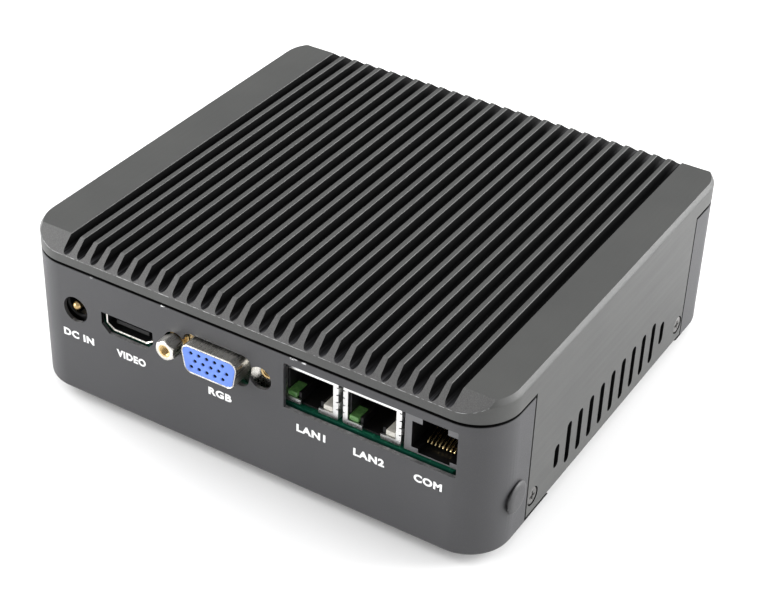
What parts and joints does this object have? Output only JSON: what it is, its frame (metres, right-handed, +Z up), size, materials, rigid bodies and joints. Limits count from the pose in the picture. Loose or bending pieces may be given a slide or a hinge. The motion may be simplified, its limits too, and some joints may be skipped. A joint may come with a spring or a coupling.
{
  "type": "fanless firewall appliance",
  "caption": "Compact fanless network box: finned heatsink cover over a round-cornered tray with power, video, network and serial sockets, vents and screw-on feet.",
  "frame": {"origin": "centre of the case in plan, at the bottom of the rubber feet", "axes": "+X to the right when facing the pictured sockets, +Y from the socket panel to the opposite panel, +Z up"},
  "size_m": [0.1364, 0.132, 0.0473],
  "materials": {
    "anodised": "black anodised, fine matt texture",
    "bare_aluminium": "bare machined",
    "black_plastic": "moulded, satin",
    "blue_plastic": "moulded, satin",
    "board": "green solder mask on glass-fibre board",
    "brass": "turned brass",
    "clear_lens": "frosted light window, unlit",
    "gold": "gold flash on spring contacts",
    "green_lens": "tinted light window, unlit",
    "grey_plastic": "moulded, satin",
    "nickel": "bright nickel plate",
    "paint": "black powder coat, fine grain",
    "rubber": "matt black",
    "steel": "plain machine screw steel"
  },
  "bodies": {
    "case": {"antenna_plug_left": "black_plastic", "antenna_plug_right": "black_plastic", "board_post_left_front": "brass", "board_post_left_rear": "brass", "board_post_right_front": "brass", "board_post_right_rear": "brass", "board_screw_left_front": "steel", "board_screw_left_rear": "steel", "board_screw_right_front": "steel", "board_screw_right_rear": "steel", "chassis_tray": "paint", "coin_cell": "steel", "coin_cell_holder": "black_plastic", "com_contacts": "gold", "com_socket_body": "grey_plastic", "cover_screw_left_front": "steel", "cover_screw_left_rear": "steel", "cover_screw_right_front": "steel", "cover_screw_right_rear": "steel", "dc_jack_body": "black_plastic", "dc_jack_pin": "brass", "drive_light_pipe": "clear_lens", "foot_left_front": "rubber", "foot_left_rear": "rubber", "foot_right_front": "rubber", "foot_right_rear": "rubber", "heat_block": "bare_aluminium", "heatsink_cover": "anodised", "jackscrew_left": "nickel", "lan1_activity_light": "clear_lens", "lan1_insert": "black_plastic", "lan1_link_light": "green_lens", "lan1_shield": "nickel", "lan2_activity_light": "clear_lens", "lan2_insert": "black_plastic", "lan2_link_light": "green_lens", "lan2_shield": "nickel", "main_board": "board", "memory_module": "board", "memory_socket": "black_plastic", "power_light_pipe": "clear_lens", "power_switch": "black_plastic", "processor": "black_plastic", "rgb_insert": "blue_plastic", "rgb_shell": "nickel", "storage_card": "board", "storage_socket": "black_plastic", "usb_shell_1": "nickel", "usb_shell_2": "nickel", "usb_shell_3": "nickel", "usb_shell_4": "nickel", "usb_tongue_1": "blue_plastic", "usb_tongue_2": "blue_plastic", "usb_tongue_3": "black_plastic", "usb_tongue_4": "black_plastic", "video_shell": "nickel", "video_tongue": "black_plastic"},
    "button": {"power_button": "nickel"}
  },
  "joints": [
    {"name": "power_button_press", "type": "slide", "parent": "case", "child": "button", "axis": [0, -1, 0], "range_m": [0, 0.0008], "stiffness_N_per_m": 2000}
  ]
}
